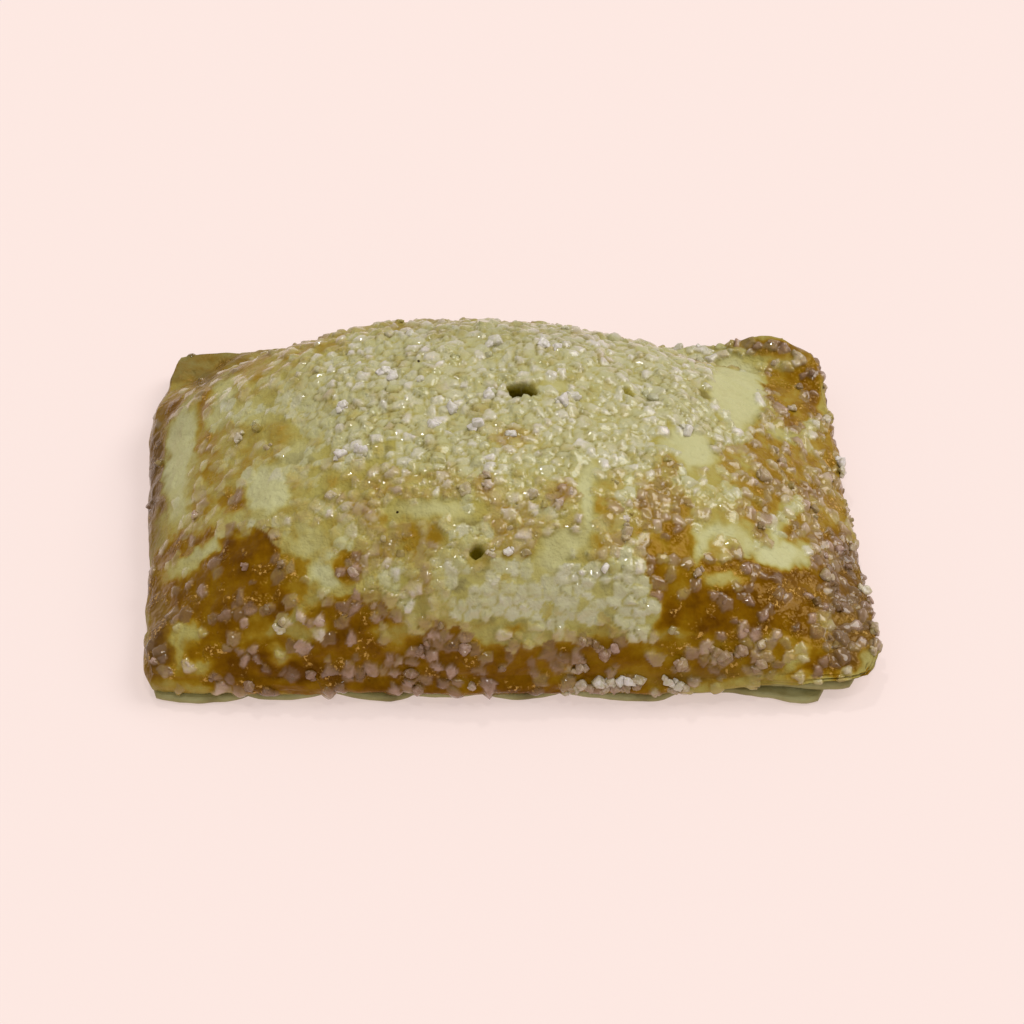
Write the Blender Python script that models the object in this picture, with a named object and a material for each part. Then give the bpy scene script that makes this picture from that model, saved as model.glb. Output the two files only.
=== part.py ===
"""Sugared puff pastry turnover: a domed rectangular pillow of laminated dough, lying on its flat base.

The long side runs along X and the front faces -Y. The origin is the middle of the base.
"""

import math
import random

import bmesh
import bpy
from mathutils import Euler, Vector, noise

MM = 0.001

# Driving dimensions of the pillow, in millimetres
HALF_WIDTH = 64.8
HALF_DEPTH = 42.0
DOME_HEIGHT = 32.0
RIM_HEIGHT = 7.0
RIM_TILT = 1.2  # the rim is higher at the back than at the front

# Plan outline: how far each corner is rounded off, keyed by its side along and across, the lean of the
# hand-folded sides, the belly of the left end, and the waves along the edge
CORNER_PULL = {(-1, -1): 0.02, (1, -1): 0.03, (-1, 1): 0.02, (1, 1): 0.05}
CORNER_POWER = 14.0
SKEW = 0.05
BELLY, BELLY_AT, BELLY_REACH = 1.5, 0.4, 0.45
# How far the left end is drawn in towards the back
DRAW_IN = 2.0
EDGE_WAVE = 0.8
EDGE_WAVELENGTH = 17.0

# Mound over the filling: its crest lies left of the middle, it falls faster to the right, and at the back
# it draws in towards its ends
CREST = -0.10
LONG_POWER = {-1: 2.4, 1: 2.2}
LONG_FALL = {-1: 0.95, 1: 1.1}
SHORT_POWER, SHORT_FALL = 3.6, 0.80
BACK_DRAW = 0.36

# Right-hand back corner, where the crust curls up into a lip
CURL_HEIGHT = 3.8
CURL_AT = (0.92, 1.0)
CURL_REACH = (0.14, 0.22)

# Left-hand back corner, pinched flat outside a slanting crease: a point on it, and its outward direction
PINCH_AT = (-57.6, 37.4)
PINCH_OUT = (-0.60, 0.80)
PINCH_DROP = 2.4
PINCH_WIDTH = 2.2

# Shallow wrinkle in the top, right of the vent
WRINKLE_ENDS = ((22.0, 27.0), (27.0, 10.0))
WRINKLE_DEPTH = 1.3
WRINKLE_WIDTH = 3.2

# Blisters of the crust
BLISTER_HEIGHT = 0.9
BLISTER_SIZE = 15.0

# Mesh of the crust: cells along and across the top, and the rings of the side
CELLS_ALONG, CELLS_ACROSS = 46, 29
CROWDING = 0.3  # how much closer the cells lie towards the rim

# Side wall, top to bottom: share of the rim's height, and how far the wall stands out of the rim
# where the dough is folded and where its cut layers show
SIDE_RINGS = (
    {"share": 0.80, "folded": 0.7, "layered": 0.9},
    {"share": 0.60, "folded": 1.1, "layered": 0.2},
    {"share": 0.46, "folded": 1.1, "layered": 1.2},
    {"share": 0.30, "folded": 0.8, "layered": 0.1},
    {"share": 0.12, "folded": 0.0, "layered": 0.6},
    {"share": 0.0, "folded": -1.0, "layered": -0.8},
)
UNDERSIDE_INSET = 8.0
FLAKE_RAGGED = 0.5
BASE_LIFT = 0.5  # level of the crust's underside, inside the bottom leaf
CORNER_LIFT = 4.2  # how much higher it is at the right-hand front corner, where the leaves show

# Leaves of dough that show under the crust: level of the underside, thickness, edges, and tongues where
# the leaf juts out at the front, each with its place along X, its reach and its push
LEAVES = (
    {
        "name": "middle_leaf",
        "level": 1.9,
        "thickness": 2.0,
        "left": -60.0,
        "right": 61.0,
        "front": -41.2,
        "back": 40.0,
        "tongues": (),
    },
    {
        "name": "bottom_leaf",
        "level": 0.0,
        "thickness": 1.5,
        "left": -64.0,
        "right": 57.6,
        "front": -42.6,
        "back": 40.5,
        "tongues": ((-60.0, 6.0, 1.0), (54.0, 6.0, 1.8)),
    },
)
LEAF_POINTS_PER_SIDE = 14
LEAF_WAVE = 1.2
LEAF_WAVELENGTH = 11.0

# Steam vent in the crown, the slit beside it, and a small hole at the front
VENTS = (
    {"at": (0.065, 0.10), "half_sides": (2.6, 1.8, 5.0), "turn": -14.0},
    {"at": (0.37, 0.20), "half_sides": (2.2, 0.8, 1.6), "turn": -50.0},
    {"at": (-0.086, -0.72), "half_sides": (1.2, 1.0, 1.6), "turn": 0.0},
)

# Coarse sugar that is large enough to show in the solid
SUGAR_SIZE = (1.6, 2.4)
SUGAR_SQUASH = (0.7, 1.0)
SUGAR_SPACING = 2.8
SUGAR_TRIES = 3000
SUGAR_COUNT = 222
SUGAR_PROUD = 0.08  # share of a grain's size by which its centre lies above the crust
SUGAR_SEED = 21

CRUST_COLOUR = (0.52, 0.40, 0.16, 1.0)
CRUST_ROUGHNESS = 0.55


def rounded(a, b, half_width, half_depth):
    """The point (a, b) of the unit square, stretched to a rectangle with rounded corners."""
    pull = CORNER_PULL[1 if a > 0.0 else -1, 1 if b > 0.0 else -1]
    x = a * half_width * (1.0 - pull * abs(b) ** CORNER_POWER)
    y = b * half_depth * (1.0 - pull * abs(a) ** CORNER_POWER)
    return x, y


def plan_point(a, b):
    """Plan position, in millimetres, of the point (a, b) of the unit square."""
    x, y = rounded(a, b, HALF_WIDTH, HALF_DEPTH)
    x -= SKEW * y + BELLY * max(0.0, -a) ** 4 * math.exp(-(((b - BELLY_AT) / BELLY_REACH) ** 2))
    x += DRAW_IN * smooth_step(0.55, 0.90, b) * max(0.0, -a) ** 4
    push = EDGE_WAVE * noise.noise(Vector((x, y, 3.0)) / EDGE_WAVELENGTH) * max(abs(a), abs(b)) ** 6
    return x * (1.0 + push / HALF_WIDTH), y * (1.0 + push / HALF_DEPTH)


def smooth_step(low, high, value):
    share = min(1.0, max(0.0, (value - low) / (high - low)))
    return share * share * (3.0 - 2.0 * share)


def mound(a, b):
    """Share of the dome's height over the filling, 1 at the crest and 0 at the rim."""
    side = 1 if a > CREST else -1
    along = min(1.0, abs(a - CREST) / (1.0 - CREST * side))
    drawn_in = 1.0 + BACK_DRAW * along**2 if b > 0.0 else 1.0
    across = min(1.0, abs(b) * drawn_in)
    fall = (1.0 - along ** LONG_POWER[side]) ** LONG_FALL[side]
    return fall * (1.0 - across**SHORT_POWER) ** SHORT_FALL


def corner_curl(a, b):
    """The lip at the right-hand back corner."""
    along = (a - CURL_AT[0]) / CURL_REACH[0]
    across = (b - CURL_AT[1]) / CURL_REACH[1]
    return CURL_HEIGHT * math.exp(-(along**2) - across**2)


def pinched_corner(x, y):
    """The flat left-hand back corner: it lies lower, and a crease parts it from the mound."""
    beyond = (x - PINCH_AT[0]) * PINCH_OUT[0] + (y - PINCH_AT[1]) * PINCH_OUT[1]
    crease = 0.5 * math.exp(-((beyond / PINCH_WIDTH) ** 2))
    return -PINCH_DROP * (0.6 * smooth_step(-PINCH_WIDTH, PINCH_WIDTH, beyond) + crease)


def wrinkle(x, y):
    """A shallow valley between two points of the top."""
    start, end = Vector(WRINKLE_ENDS[0]), Vector(WRINKLE_ENDS[1])
    run = end - start
    share = min(1.0, max(0.0, (Vector((x, y)) - start).dot(run) / run.length_squared))
    aside = (Vector((x, y)) - start - run * share).length
    return -WRINKLE_DEPTH * math.exp(-((aside / WRINKLE_WIDTH) ** 2))


def crust_height(a, b):
    """Height of the top of the crust, in millimetres."""
    x, y = plan_point(a, b)
    rim = RIM_HEIGHT + RIM_TILT * b
    blister = noise.noise(Vector((x, y, 0.0)) / BLISTER_SIZE)
    blister += 0.5 * noise.noise(Vector((x, y, 9.0)) / (BLISTER_SIZE * 0.45))
    relief = corner_curl(a, b) + pinched_corner(x, y) + wrinkle(x, y) + BLISTER_HEIGHT * blister
    return rim + (DOME_HEIGHT - rim) * mound(a, b) + relief


def surface_point(a, b):
    x, y = plan_point(a, b)
    return Vector((x, y, crust_height(a, b)))


def surface_normal(a, b):
    step = 0.01
    along = surface_point(min(a + step, 1.0), b) - surface_point(max(a - step, -1.0), b)
    across = surface_point(a, min(b + step, 1.0)) - surface_point(a, max(b - step, -1.0))
    return along.cross(across).normalized()


def crowd(t):
    """Moves evenly spaced grid lines towards the rim, where the crust turns down."""
    return t * (1.0 + CROWDING) - CROWDING * t**3


def new_object(name, mesh_data, collection):
    obj = bpy.data.objects.new(name, mesh_data)
    collection.objects.link(obj)
    return obj


def move_to(obj, collection):
    """Takes a new primitive out of the scene's own collection and puts it in the given one."""
    for other in list(obj.users_collection):
        other.objects.unlink(obj)
    collection.objects.link(obj)


def mesh_from(bm, name):
    data = bpy.data.meshes.new(name)
    bm.to_mesh(data)
    bm.free()
    return data


def layeredness(x, y):
    """1 where the cut layers show, at the right and the back, and 0 at the folded left and front."""
    right = smooth_step(0.55, 1.0, x / HALF_WIDTH)
    back = smooth_step(0.7, 1.0, y / HALF_DEPTH) * smooth_step(-1.0, -0.6, x / HALF_WIDTH)
    return max(right, back)


def outward_at(x, y):
    """Outward direction of the side wall: square to the nearer side, turning only round a corner."""
    along = math.copysign(abs(x / HALF_WIDTH) ** CORNER_POWER, x)
    across = math.copysign(abs(y / HALF_DEPTH) ** CORNER_POWER, y)
    return Vector((along, across, 0.0)).normalized()


def underside_level(x, y):
    """Level of the crust's lower edge: it lifts off the leaves at the right-hand front corner."""
    lift = smooth_step(0.35, 1.0, x / HALF_WIDTH) * smooth_step(0.1, 1.0, -y / HALF_DEPTH)
    return BASE_LIFT + CORNER_LIFT * lift


def wall_point(top, ring):
    """The point of one ring of the side wall that lies under a point of the rim."""
    base = underside_level(top.x, top.y)
    level = base + (top.z - base) * ring["share"]
    share = layeredness(top.x, top.y)
    stand_out = ring["folded"] + (ring["layered"] - ring["folded"]) * share
    ragged = FLAKE_RAGGED * noise.noise(Vector((top.x, top.y, level * 3.0)) / 6.0)
    place = top + outward_at(top.x, top.y) * (stand_out + ragged)
    return Vector((place.x, place.y, level))


def underside_point(top):
    """The point of the underside's inner ring that lies inside a point of the rim."""
    place = top - outward_at(top.x, top.y) * UNDERSIDE_INSET
    return Vector((place.x, place.y, BASE_LIFT))


def make_crust(collection):
    """The domed crust: a grid lifted into a mound, its edge drawn down in rings and closed below."""
    bm = bmesh.new()
    bmesh.ops.create_grid(bm, x_segments=CELLS_ALONG, y_segments=CELLS_ACROSS, size=1.0)
    for vert in bm.verts:
        vert.co = surface_point(crowd(vert.co.x), crowd(vert.co.y))
    edges = [edge for edge in bm.edges if edge.is_boundary]
    rim_above = {vert: vert.co.copy() for edge in edges for vert in edge.verts}
    for ring in (*SIDE_RINGS, None):
        drawn = bmesh.ops.extrude_edge_only(bm, edges=edges)["geom"]
        edges = [item for item in drawn if isinstance(item, bmesh.types.BMEdge) and item.is_boundary]
        lower = {vert for edge in edges for vert in edge.verts}
        for vert in lower:
            above = next(v for v in (e.other_vert(vert) for e in vert.link_edges) if v not in lower)
            rim_above[vert] = rim_above[above]
        for vert in lower:
            top = rim_above[vert]
            vert.co = wall_point(top, ring) if ring else underside_point(top)
    bmesh.ops.contextual_create(bm, geom=edges)
    bmesh.ops.recalc_face_normals(bm, faces=bm.faces)
    bmesh.ops.scale(bm, vec=(MM, MM, MM), verts=bm.verts)
    return new_object("pastry", mesh_from(bm, "pastry"), collection)


def leaf_outline(leaf):
    """Points round a leaf: a rounded rectangle with a ragged edge, in millimetres."""
    middle = Vector((leaf["left"] + leaf["right"], leaf["front"] + leaf["back"])) / 2
    half = Vector((leaf["right"] - leaf["left"], leaf["back"] - leaf["front"])) / 2
    steps = [2.0 * index / LEAF_POINTS_PER_SIDE - 1.0 for index in range(LEAF_POINTS_PER_SIDE)]
    square = [(t, -1.0) for t in steps] + [(1.0, t) for t in steps]
    square += [(-t, 1.0) for t in steps] + [(-1.0, -t) for t in steps]
    points = []
    for a, b in square:
        x, y = rounded(a, b, half.x, half.y)
        x += middle.x
        y += middle.y
        ragged = LEAF_WAVE * noise.noise(Vector((x, y, 5.0 + leaf["level"])) / LEAF_WAVELENGTH)
        if y < 0.0:
            ragged += sum(push * math.exp(-(((x - at) / reach) ** 2)) for at, reach, push in leaf["tongues"])
        outward = outward_at(x, y)
        points.append((x - SKEW * y + outward.x * ragged, y + outward.y * ragged))
    return points


def make_leaf(leaf, collection):
    """A thin flat leaf of dough: a filled outline, drawn up to its thickness."""
    bm = bmesh.new()
    ring = [bm.verts.new((x * MM, y * MM, leaf["level"] * MM)) for x, y in leaf_outline(leaf)]
    face = bm.faces.new(ring)
    drawn = bmesh.ops.extrude_face_region(bm, geom=[face])["geom"]
    top = [item for item in drawn if isinstance(item, bmesh.types.BMVert)]
    bmesh.ops.translate(bm, vec=(0.0, 0.0, leaf["thickness"] * MM), verts=top)
    bmesh.ops.recalc_face_normals(bm, faces=bm.faces)
    return new_object(leaf["name"], mesh_from(bm, leaf["name"]), collection)


def sugar_density(a, b):
    """How thickly the sugar lies: most on the crown of the mound and along the right and front rims."""
    crown = math.exp(-(((a + 0.10) / 0.55) ** 2) - ((b - 0.35) / 0.40) ** 2)
    front = math.exp(-(((b + 0.93) / 0.14) ** 2)) * (0.5 + 0.3 * a)
    right = math.exp(-(((a - 0.93) / 0.13) ** 2))
    bald = math.exp(-(((a - 0.08) / 0.27) ** 2) - ((b + 0.62) / 0.14) ** 2)
    return max(0.0, 0.20 + crown + front + 0.8 * right - 1.2 * bald)


def sugar_places(draw):
    """Places for the grains, by seeded draws that keep a spacing."""
    places = []
    for _ in range(SUGAR_TRIES):
        a = draw.uniform(-0.985, 0.985)
        b = draw.uniform(-0.985, 0.985)
        if draw.random() > sugar_density(a, b):
            continue
        point = surface_point(a, b)
        if all((point - other).length > SUGAR_SPACING for other, _, _ in places):
            places.append((point, a, b))
        if len(places) == SUGAR_COUNT:
            break
    return places


def make_sugar(collection):
    """Coarse sugar grains: blocky crystals, turned at random and sunk into the crust."""
    draw = random.Random(SUGAR_SEED)
    places = sugar_places(draw)
    sizes = sorted((draw.uniform(*SUGAR_SIZE) for _ in places), reverse=True)
    for (point, a, b), size in zip(places, sizes):
        bpy.ops.mesh.primitive_cube_add(size=1.0)
        grain = bpy.context.object
        grain.name = "grain"
        move_to(grain, collection)
        grain.location = (point + surface_normal(a, b) * size * SUGAR_PROUD) * MM
        grain.rotation_euler = Euler([draw.uniform(-math.pi, math.pi) for _ in range(3)])
        grain.scale = [size * draw.uniform(*SUGAR_SQUASH) * MM for _ in range(3)]


def make_vents(collection):
    """Cutters of the steam vent and docking holes: stretched balls sunk into the crust."""
    for vent in VENTS:
        bpy.ops.mesh.primitive_uv_sphere_add(segments=12, ring_count=8, radius=1.0)
        cutter = bpy.context.object
        cutter.name = "vent_cutter"
        move_to(cutter, collection)
        cutter.location = surface_point(*vent["at"]) * MM
        cutter.rotation_euler = Euler((0.0, 0.0, math.radians(vent["turn"])))
        cutter.scale = [half * MM for half in vent["half_sides"]]


def apply_boolean(target, collection, operation, solver):
    modifier = target.modifiers.new(operation.lower(), "BOOLEAN")
    modifier.operation = operation
    modifier.operand_type = "COLLECTION"
    modifier.collection = collection
    modifier.solver = solver
    bpy.context.view_layer.update()
    graph = bpy.context.evaluated_depsgraph_get()
    made = bpy.data.meshes.new_from_object(target.evaluated_get(graph))
    target.modifiers.clear()
    target.data = made
    for helper in list(collection.objects):
        bpy.data.objects.remove(helper)
    bpy.data.collections.remove(collection)


def keep_main_body(target):
    """Drops loose scraps and sealed hollows: only the largest connected surface stays."""
    bm = bmesh.new()
    bm.from_mesh(target.data)
    waiting = set(bm.verts)
    bodies = []
    while waiting:
        body = {waiting.pop()}
        front = list(body)
        while front:
            vert = front.pop()
            for edge in vert.link_edges:
                other = edge.other_vert(vert)
                if other in waiting:
                    waiting.discard(other)
                    body.add(other)
                    front.append(other)
        bodies.append(body)
    main = max(bodies, key=len)
    bmesh.ops.delete(bm, geom=[vert for vert in bm.verts if vert not in main], context="VERTS")
    bm.to_mesh(target.data)
    bm.free()


def crust_material():
    material = bpy.data.materials.new("baked_crust")
    material.use_nodes = True
    shader = material.node_tree.nodes["Principled BSDF"]
    shader.inputs["Base Color"].default_value = CRUST_COLOUR
    shader.inputs["Roughness"].default_value = CRUST_ROUGHNESS
    shader.inputs["Metallic"].default_value = 0.0
    return material


def new_collection(name):
    collection = bpy.data.collections.new(name)
    bpy.context.scene.collection.children.link(collection)
    return collection


def main():
    for obj in list(bpy.data.objects):
        bpy.data.objects.remove(obj)
    parts = new_collection("puff_pastry")
    fused = new_collection("fused_pieces")
    cutters = new_collection("cutters")
    pastry = make_crust(parts)
    for leaf in LEAVES:
        make_leaf(leaf, fused)
    make_sugar(fused)
    make_vents(cutters)
    apply_boolean(pastry, fused, "UNION", "MANIFOLD")
    apply_boolean(pastry, cutters, "DIFFERENCE", "MANIFOLD")
    keep_main_body(pastry)
    pastry.data.materials.clear()
    pastry.data.materials.append(crust_material())
    pastry.data.shade_smooth()
    pastry.data.set_sharp_from_angle(angle=math.radians(35))


main()
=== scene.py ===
"""Sugared puff pastry turnover: browned crust, flaky leaves and half-melted coarse sugar.

Lengths in the constants are millimetres. The long side runs along X, the front faces -Y, and the origin is
the middle of the base. Dabs and grains are placed by pixels of the photograph, which the camera repeats.
"""

import math
import random

import bmesh
import bpy
import numpy as np
from mathutils import Euler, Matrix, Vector, noise
from mathutils.kdtree import KDTree


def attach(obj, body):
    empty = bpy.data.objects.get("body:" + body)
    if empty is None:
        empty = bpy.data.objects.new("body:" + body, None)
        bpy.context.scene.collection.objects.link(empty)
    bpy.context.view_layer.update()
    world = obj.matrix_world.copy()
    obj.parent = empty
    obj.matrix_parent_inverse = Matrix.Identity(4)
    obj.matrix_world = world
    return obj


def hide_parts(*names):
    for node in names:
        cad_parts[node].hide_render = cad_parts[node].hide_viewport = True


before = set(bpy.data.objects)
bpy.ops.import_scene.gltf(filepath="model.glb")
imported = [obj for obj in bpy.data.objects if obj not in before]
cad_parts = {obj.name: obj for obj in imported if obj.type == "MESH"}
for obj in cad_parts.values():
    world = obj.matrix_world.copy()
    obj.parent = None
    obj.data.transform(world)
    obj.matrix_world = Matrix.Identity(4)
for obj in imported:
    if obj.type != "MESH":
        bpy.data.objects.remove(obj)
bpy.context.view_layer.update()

MM = 0.001

# Camera of the photograph: tilt and distance, focal length in pixels, and the pixel the origin falls on
PHOTO_SIZE = 1024
PHOTO_ELEVATION = math.radians(46.0)
PHOTO_DISTANCE = 456.0
PHOTO_FOCAL = 2388.0
PHOTO_ORIGIN = (500.0, 528.0)
SENSOR_WIDTH = 36.0

# Driving dimensions of the pillow
HALF_WIDTH = 64.8
HALF_DEPTH = 42.0
DOME_HEIGHT = 32.0
RIM_HEIGHT = 7.0
RIM_TILT = 1.2

# Plan outline: rounded corners by side, lean, belly of the left end, and the waves along the edge
CORNER_PULL = {(-1, -1): 0.02, (1, -1): 0.03, (-1, 1): 0.02, (1, 1): 0.05}
CORNER_POWER = 14.0
SKEW = 0.05
BELLY, BELLY_AT, BELLY_REACH = 1.5, 0.4, 0.45
# How far the left end is drawn in towards the back
DRAW_IN = 2.0
EDGE_WAVE = 0.8
EDGE_WAVELENGTH = 17.0

# Mound over the filling
CREST = -0.10
LONG_POWER = {-1: 2.4, 1: 2.2}
LONG_FALL = {-1: 0.95, 1: 1.1}
SHORT_POWER, SHORT_FALL = 3.6, 0.80
BACK_DRAW = 0.36

# Curled lip at the right-hand back corner
CURL_HEIGHT = 3.8
CURL_AT = (0.92, 1.0)
CURL_REACH = (0.14, 0.22)

# Pinched left-hand back corner: a point on its crease, and its outward direction
PINCH_AT = (-57.6, 37.4)
PINCH_OUT = (-0.60, 0.80)
PINCH_DROP = 2.4
PINCH_WIDTH = 2.2
# Shares of the drop that the flap beyond the crease and the crease itself have
PINCH_FLAP, PINCH_CREASE = 0.6, 0.5

# Shallow wrinkle right of the vent
WRINKLE_ENDS = ((22.0, 27.0), (27.0, 10.0))
WRINKLE_DEPTH = 1.3
WRINKLE_WIDTH = 3.2

# Blisters, from wide to fine: wavelength and height
BLISTER_HEIGHT = 0.9
BLISTER_SIZE = 15.0
FINE_RELIEF = ((5.5, 0.35), (2.6, 0.20), (1.3, 0.05))

# Mesh of the crust
CELLS_ALONG, CELLS_ACROSS = 380, 250
CROWDING = 0.3
SIDE_RINGS = 24

# Side wall: share of the rim's height, and how far the wall stands out where folded and where layered
WALL_SHARES = (1.0, 0.80, 0.60, 0.46, 0.30, 0.12, 0.0)
WALL_FOLDED = (0.0, 0.7, 1.1, 1.1, 0.8, 0.0, -1.0)
WALL_LAYERED = (0.0, 0.9, 0.2, 1.2, 0.1, 0.6, -0.8)
UNDERSIDE_INSET = 8.0
FLAKE_RAGGED = 0.5
BASE_LIFT = 0.5
# Lowest level of the crust, of melted sugar and of the large grains
LOWEST_CRUST, LOWEST_SUGAR, LOWEST_GRAIN = 0.15, 1.8, 1.6
# Thin layers of the open edge, as long streaks of noise
LAYER_LENGTH, LAYER_THICKNESS, LAYER_DEPTH = 9.0, 0.55, 0.9
CORNER_LIFT = 4.2

# Leaves of dough that show under the crust
LEAVES = (
    {
        "name": "middle_leaf",
        "level": 1.9,
        "thickness": 2.0,
        "left": -60.0,
        "right": 61.0,
        "front": -41.2,
        "back": 40.0,
        "tongues": ((57.0, 9.0, 2.2),),
        "notches": (),
    },
    {
        "name": "bottom_leaf",
        "level": 0.0,
        "thickness": 1.5,
        "left": -64.0,
        "right": 56.2,
        "front": -42.6,
        "back": 40.5,
        "tongues": ((-60.0, 6.0, 1.0), (38.0, 9.0, -1.4), (53.0, 5.0, 2.0)),
        "notches": (-47.0, -32.5, -17.6, -5.0, 9.0, 30.0),
    },
)
LEAF_POINTS_PER_SIDE = 120
# Waves of the leaves' edges, from wide to fine: wavelength and reach
LEAF_WAVES = ((11.0, 1.2), (2.2, 0.25))
# How far the upper edge of a leaf goes up and down
LEAF_LIFT = 0.2
LEAF_RINGS = 6
# Scallops of the bottom leaf's front edge: its notches go in and the edge between them comes out
NOTCH_DEPTH, NOTCH_REACH, SCALLOP = 1.5, 2.6, 0.6

# Steam vent in the crown, the crease beside it, and a small hole at the front, placed on the unit square;
# shade is how dark each is made with painted shade
VENTS = (
    {"at": (0.065, 0.10), "half_sides": (2.6, 1.7), "depth": 5.0, "turn": -14.0, "shade": 1.0},
    {"at": (0.37, 0.20), "half_sides": (1.8, 0.7), "depth": 0.9, "turn": -50.0, "shade": 0.12},
    {"at": (-0.086, -0.72), "half_sides": (1.2, 1.0), "depth": 1.3, "turn": 0.0, "shade": 0.45},
)
VENT_RAGGED, VENT_RAGGED_WAVELENGTH = 0.28, 1.6
# Where a vent's edge begins and ends, as shares of its half sides
VENT_EDGE = (0.75, 1.12)

# How far the crust is baked: 0 is pale dough, 0.5 tan, 0.7 golden and 1 the darkest brown.
# Each dab: pixel of its middle, half width and half height in pixels, turn in degrees, level.
BAKE_GROUND = 0.40
BAKE_DABS = (
    # Broad ground: the crown, the browned right side and the browned front
    (540, 400, 260, 80, 0, 0.20),
    (360, 505, 60, 26, 0, 0.46),
    (800, 480, 70, 70, 0, 0.62),
    (740, 600, 130, 42, 4, 0.88),
    (640, 520, 60, 40, 0, 0.52),
    (400, 668, 260, 32, 0, 0.82),
    (700, 662, 160, 26, -4, 0.70),
    (210, 590, 62, 60, 0, 0.80),
    # Left end
    (182, 437, 13, 36, 8, 0.04),
    (176, 472, 14, 20, 10, 0.03),
    (180, 502, 9, 18, 15, 0.08),
    (223, 402, 11, 24, 14, 0.06),
    (250, 413, 30, 9, -8, 0.16),
    (204, 408, 7, 19, 8, 0.66),
    (206, 441, 10, 16, 0, 0.60),
    (210, 475, 10, 11, 0, 0.58),
    (256, 443, 27, 18, 12, 0.48),
    (248, 471, 17, 11, 0, 0.50),
    (300, 455, 19, 12, -20, 0.10),
    (268, 488, 25, 22, -35, 0.04),
    (304, 490, 14, 22, 10, 0.40),
    (318, 498, 6, 12, 10, 0.12),
    (232, 504, 16, 12, -30, 0.72),
    (200, 508, 12, 14, 0, 0.62),
    (156, 470, 9, 60, 3, 0.92),
    (170, 410, 10, 13, 35, 0.78),
    (196, 370, 34, 16, -18, 0.50),
    (208, 379, 38, 4, -30, 0.74),
    (247, 371, 15, 11, 0, 0.52),
    (280, 352, 42, 6, -6, 0.52),
    # Dark round patch at the left and what lies round it
    (250, 556, 33, 35, 0, 0.90),
    (262, 600, 30, 26, 0, 0.84),
    (294, 572, 13, 26, -10, 0.64),
    (208, 549, 40, 7, -24, 0.06),
    (186, 566, 18, 5, -30, 0.20),
    (258, 520, 24, 6, 0, 0.14),
    (187, 633, 15, 12, 10, 0.34),
    (181, 657, 9, 16, 0, 0.42),
    (201, 668, 11, 8, -20, 0.42),
    (199, 655, 11, 9, 0, 0.84),
    (156, 648, 12, 27, 0, 0.94),
    (178, 692, 36, 9, 6, 0.50),
    (278, 668, 46, 11, 4, 1.00),
    (258, 626, 13, 15, 0, 0.62),
    (279, 655, 11, 9, 0, 0.42),
    # Middle left
    (326, 577, 17, 12, 0, 0.02),
    (306, 541, 24, 20, 0, 0.26),
    (294, 531, 9, 9, 0, 0.46),
    (346, 536, 11, 9, 0, 0.10),
    (349, 566, 15, 17, 0, 0.72),
    (382, 542, 20, 24, 0, 0.52),
    (392, 584, 14, 15, 0, 0.16),
    (352, 614, 46, 17, 0, 0.80),
    (350, 642, 24, 16, 0, 0.88),
    (389, 640, 13, 11, 0, 0.50),
    (426, 583, 15, 17, 0, 0.44),
    (410, 545, 32, 20, 0, 0.50),
    # Middle: the crumbly pale cloud and the streak that runs down into it
    (432, 508, 42, 9, 0, 0.16),
    (466, 530, 20, 17, 0, 0.16),
    (513, 440, 26, 12, 0, 0.50),
    (486, 483, 12, 13, 0, 0.55),
    (563, 496, 17, 13, 0, 0.58),
    (512, 535, 25, 27, 0, 0.52),
    (592, 462, 18, 12, 30, 0.10),
    (588, 498, 9, 38, 4, 0.08),
    (560, 547, 27, 17, -35, 0.14),
    (455, 585, 16, 24, 0, 0.14),
    (545, 594, 100, 32, 0, 0.05),
    (440, 608, 36, 12, 0, 0.30),
    (515, 636, 42, 11, 0, 0.24),
    (636, 590, 26, 46, 0, 0.06),
    (504, 580, 10, 9, 0, 0.34),
    (548, 612, 9, 7, 0, 0.36),
    (443, 648, 28, 26, 0, 0.86),
    (506, 670, 38, 20, 0, 0.84),
    (590, 655, 46, 18, 0, 0.78),
    (515, 630, 8, 5, 0, 0.58),
    (560, 696, 90, 6, 0, 0.92),
    # Right side
    (668, 412, 44, 30, 0, 0.16),
    (738, 392, 25, 34, -20, 0.04),
    (792, 385, 30, 40, 0, 0.66),
    (790, 366, 18, 9, 10, 0.50),
    (775, 347, 42, 7, 4, 0.82),
    (812, 390, 9, 40, 0, 0.80),
    (793, 425, 6, 6, 0, 0.86),
    (786, 434, 17, 7, 8, 0.12),
    (811, 426, 10, 9, 0, 0.28),
    (688, 450, 28, 18, 18, 0.04),
    (682, 483, 7, 18, 6, 0.10),
    (668, 468, 11, 18, 0, 0.52),
    (733, 465, 17, 23, 0, 0.54),
    (731, 495, 10, 7, 0, 0.14),
    (792, 508, 10, 9, 30, 0.14),
    (629, 492, 6, 20, 12, 0.14),
    (666, 503, 26, 17, 0, 0.66),
    (673, 560, 30, 40, 0, 0.70),
    (700, 543, 8, 18, 0, 0.08),
    (722, 529, 24, 8, -4, 0.04),
    (747, 543, 8, 12, -25, 0.10),
    (781, 555, 26, 14, 0, 0.02),
    (777, 531, 7, 15, 0, 0.04),
    (723, 551, 15, 12, 0, 0.52),
    (722, 580, 18, 6, 0, 0.28),
    (826, 556, 18, 18, 0, 0.68),
    (846, 596, 30, 66, -12, 0.84),
    (872, 625, 14, 40, -10, 0.84),
    (232, 542, 11, 9, 0, 0.90),
    (826, 628, 5, 9, 0, 0.40),
    (832, 661, 30, 9, 0, 0.92),
    (795, 662, 17, 4, -38, 0.24),
    (870, 660, 9, 12, 0, 0.34),
    (764, 681, 50, 6, -6, 0.44),
)

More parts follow.
